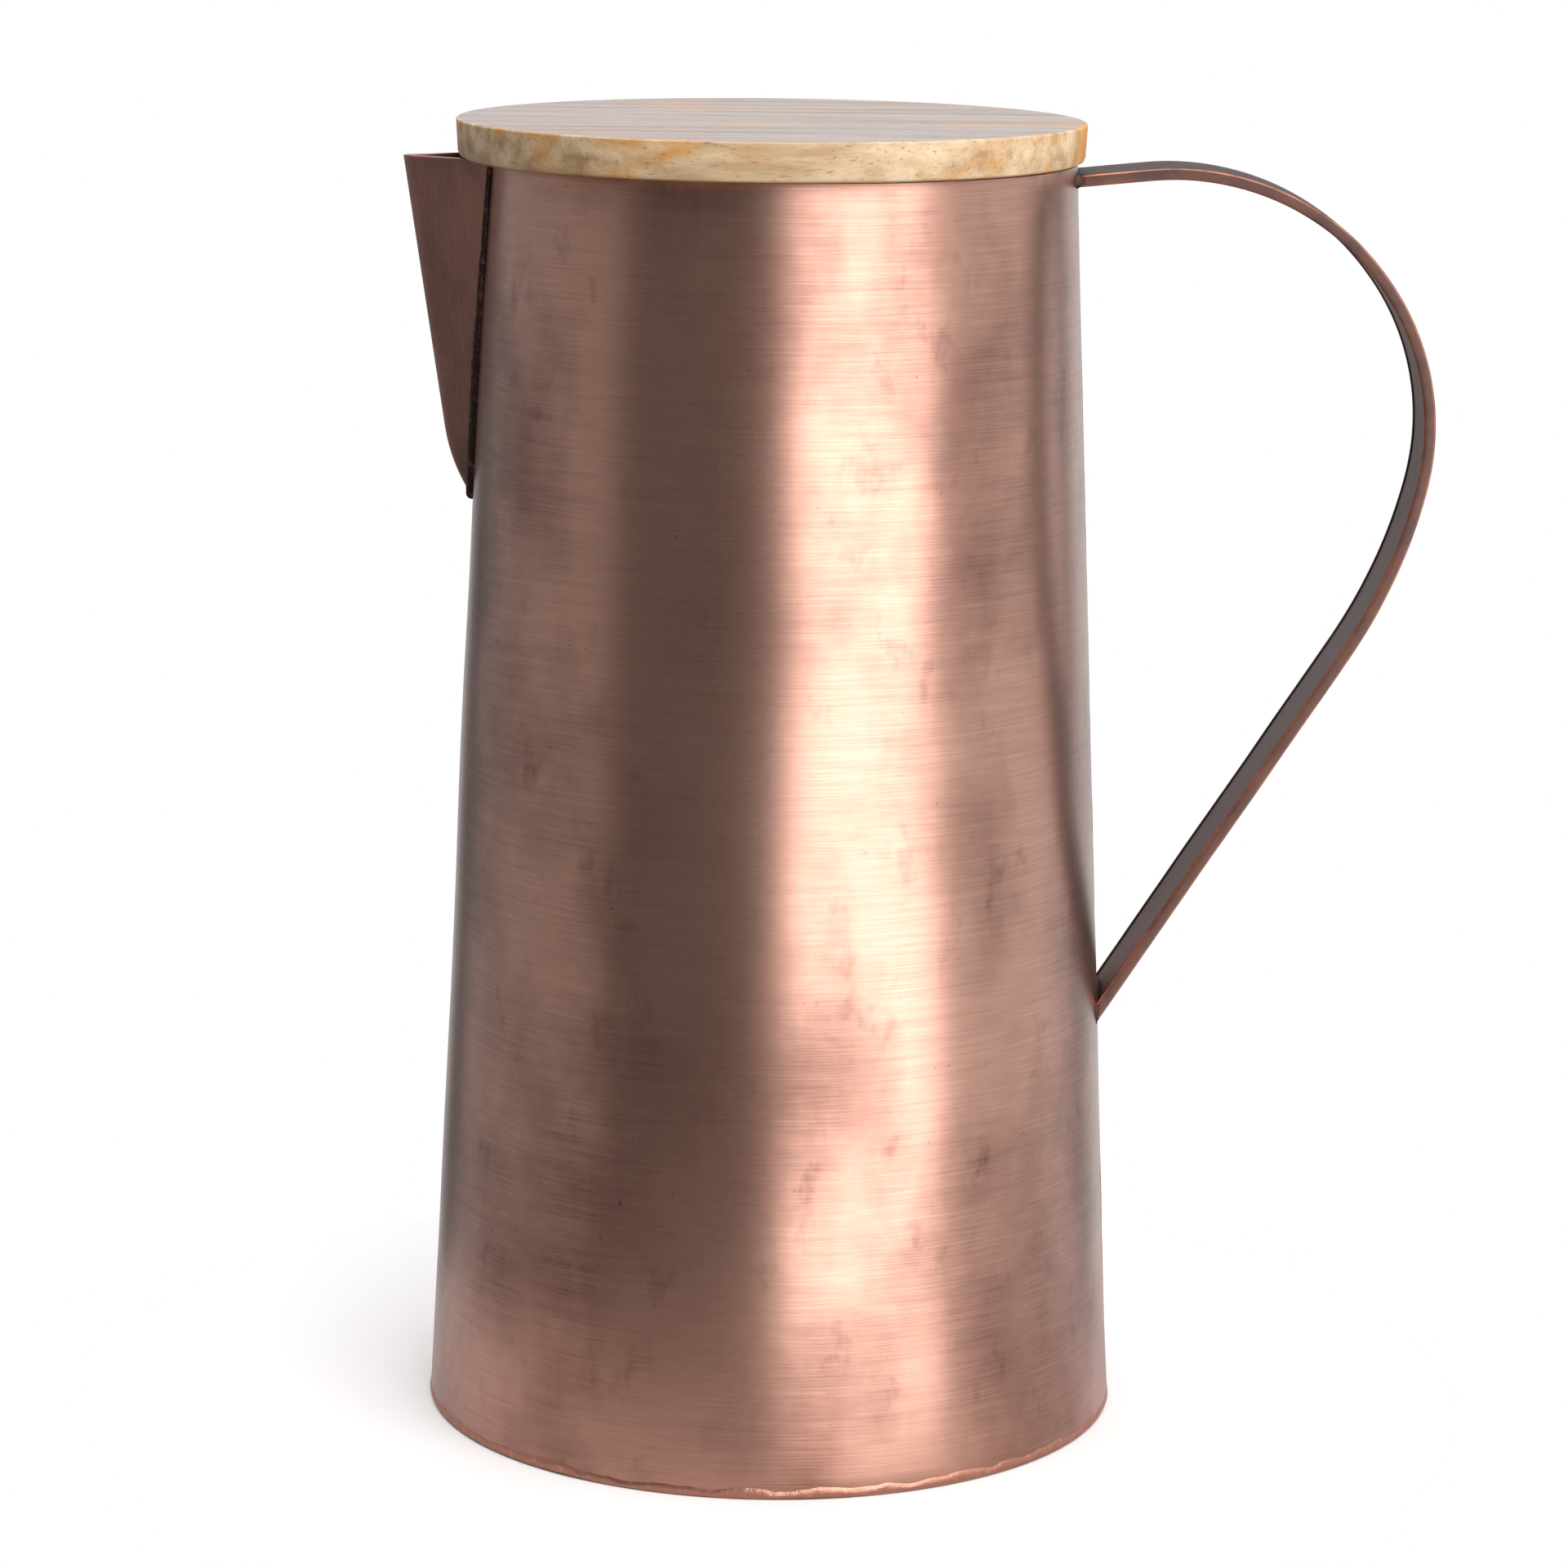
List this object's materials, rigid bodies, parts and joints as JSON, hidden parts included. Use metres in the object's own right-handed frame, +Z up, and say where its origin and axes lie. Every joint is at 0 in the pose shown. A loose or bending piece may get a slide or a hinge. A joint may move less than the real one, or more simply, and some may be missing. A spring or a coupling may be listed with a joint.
{
  "type": "copper water jug",
  "caption": "Tapered sheet-copper water jug with a folded V spout at the rim, a wide bent strap handle and a loose flat wooden lid.",
  "frame": {"origin": "centre of the underside, where the jug stands", "axes": "+Z up, +X towards the handle, -X towards the spout"},
  "size_m": [0.1886, 0.1298, 0.2407],
  "materials": {
    "copper_body": "patinated copper sheet, brushed round the body",
    "copper_spout": "patinated copper sheet, brushed along the spout",
    "copper_handle": "dark patinated copper, worn bright on its edges",
    "braze": "darkened brazing",
    "mango_wood": "sanded and lightly oiled"
  },
  "bodies": {
    "jug": {"body_wall": "copper_body", "side_seam_braze": "braze", "base_disc": "copper_body", "base_braze": "braze", "spout": "copper_spout", "spout_braze": "braze", "handle_channel": "copper_handle", "handle_inner_strip": "copper_handle", "handle_braze_upper": "braze", "handle_braze_lower": "braze"},
    "lid": {"lid": "mango_wood"}
  },
  "joints": [
    {"name": "lid_lift", "type": "slide", "parent": "jug", "child": "lid", "axis": [0, 0, 1], "range_m": [0, 0.12]}
  ]
}
